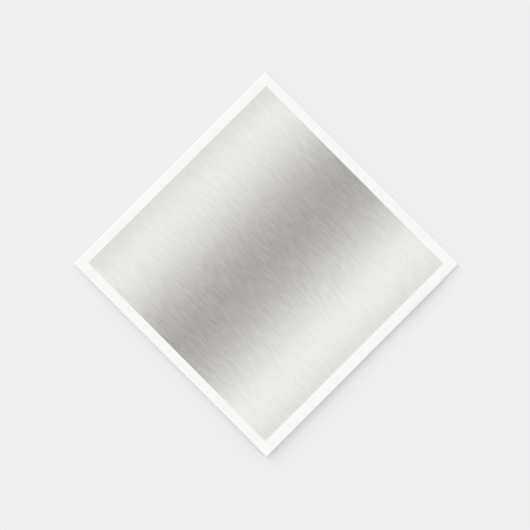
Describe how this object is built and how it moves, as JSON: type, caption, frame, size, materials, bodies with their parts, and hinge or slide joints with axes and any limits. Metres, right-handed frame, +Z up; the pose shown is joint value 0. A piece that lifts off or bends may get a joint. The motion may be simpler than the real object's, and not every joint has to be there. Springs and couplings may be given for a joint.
{
  "type": "paper napkin",
  "caption": "Multi-ply paper napkin folded into a square quarter, with a brushed metal look printed on its front inside a plain margin; both folds open.",
  "frame": {"origin": "middle of the folded square, on the surface that it lies on", "axes": "+Z up through the stack of layers to the printed front; the first fold is along the +X edge, the last fold along the +Y edge, and the -X and -Y edges are open"},
  "size_m": [0.125, 0.125, 0.0016],
  "materials": {
    "printed_tissue": "matte",
    "tissue_ply": "matte",
    "creased_tissue": "matte"
  },
  "bodies": {
    "back_panel": {"back_panel_face_ply": "tissue_ply", "back_panel_middle_ply": "tissue_ply", "back_panel_inside_ply": "tissue_ply", "first_fold_lower_face_ply": "creased_tissue", "first_fold_lower_middle_ply": "creased_tissue", "first_fold_lower_inside_ply": "creased_tissue", "last_fold_outer_face_ply": "creased_tissue", "last_fold_outer_middle_ply": "creased_tissue", "last_fold_outer_inside_ply": "creased_tissue"},
    "lower_inside_panel": {"lower_inside_panel_face_ply": "tissue_ply", "lower_inside_panel_middle_ply": "tissue_ply", "lower_inside_panel_inside_ply": "tissue_ply", "last_fold_inner_face_ply": "creased_tissue", "last_fold_inner_middle_ply": "creased_tissue", "last_fold_inner_inside_ply": "creased_tissue"},
    "upper_inside_panel": {"upper_inside_panel_face_ply": "tissue_ply", "upper_inside_panel_middle_ply": "tissue_ply", "upper_inside_panel_inside_ply": "tissue_ply", "first_fold_upper_face_ply": "creased_tissue", "first_fold_upper_middle_ply": "creased_tissue", "first_fold_upper_inside_ply": "creased_tissue"},
    "front_panel": {"front_panel_face_ply": "printed_tissue", "front_panel_middle_ply": "tissue_ply", "front_panel_inside_ply": "tissue_ply"}
  },
  "joints": [
    {"name": "first_fold", "type": "hinge", "parent": "back_panel", "child": "lower_inside_panel", "pos_m": [0.06211, 0, 0.00039], "axis": [0, 1, 0], "range_deg": [0, 179.9], "deforming": ["first_fold_lower_face_ply", "first_fold_lower_middle_ply", "first_fold_lower_inside_ply"]},
    {"name": "last_fold", "type": "hinge", "parent": "lower_inside_panel", "child": "upper_inside_panel", "pos_m": [0, 0.06169, 0.00081], "axis": [-1, 0, 0], "range_deg": [0, 179.9], "deforming": ["last_fold_inner_face_ply", "last_fold_inner_middle_ply", "last_fold_inner_inside_ply", "last_fold_outer_face_ply", "last_fold_outer_middle_ply", "last_fold_outer_inside_ply"]},
    {"name": "first_fold_upper", "type": "hinge", "parent": "upper_inside_panel", "child": "front_panel", "pos_m": [0.06211, 0, 0.00123], "axis": [0, 1, 0], "range_deg": [0, 179.9], "deforming": ["first_fold_upper_face_ply", "first_fold_upper_middle_ply", "first_fold_upper_inside_ply"]}
  ],
  "couplings": [
    {"joint": "first_fold_upper", "follows": "first_fold", "ratio": 1}
  ]
}
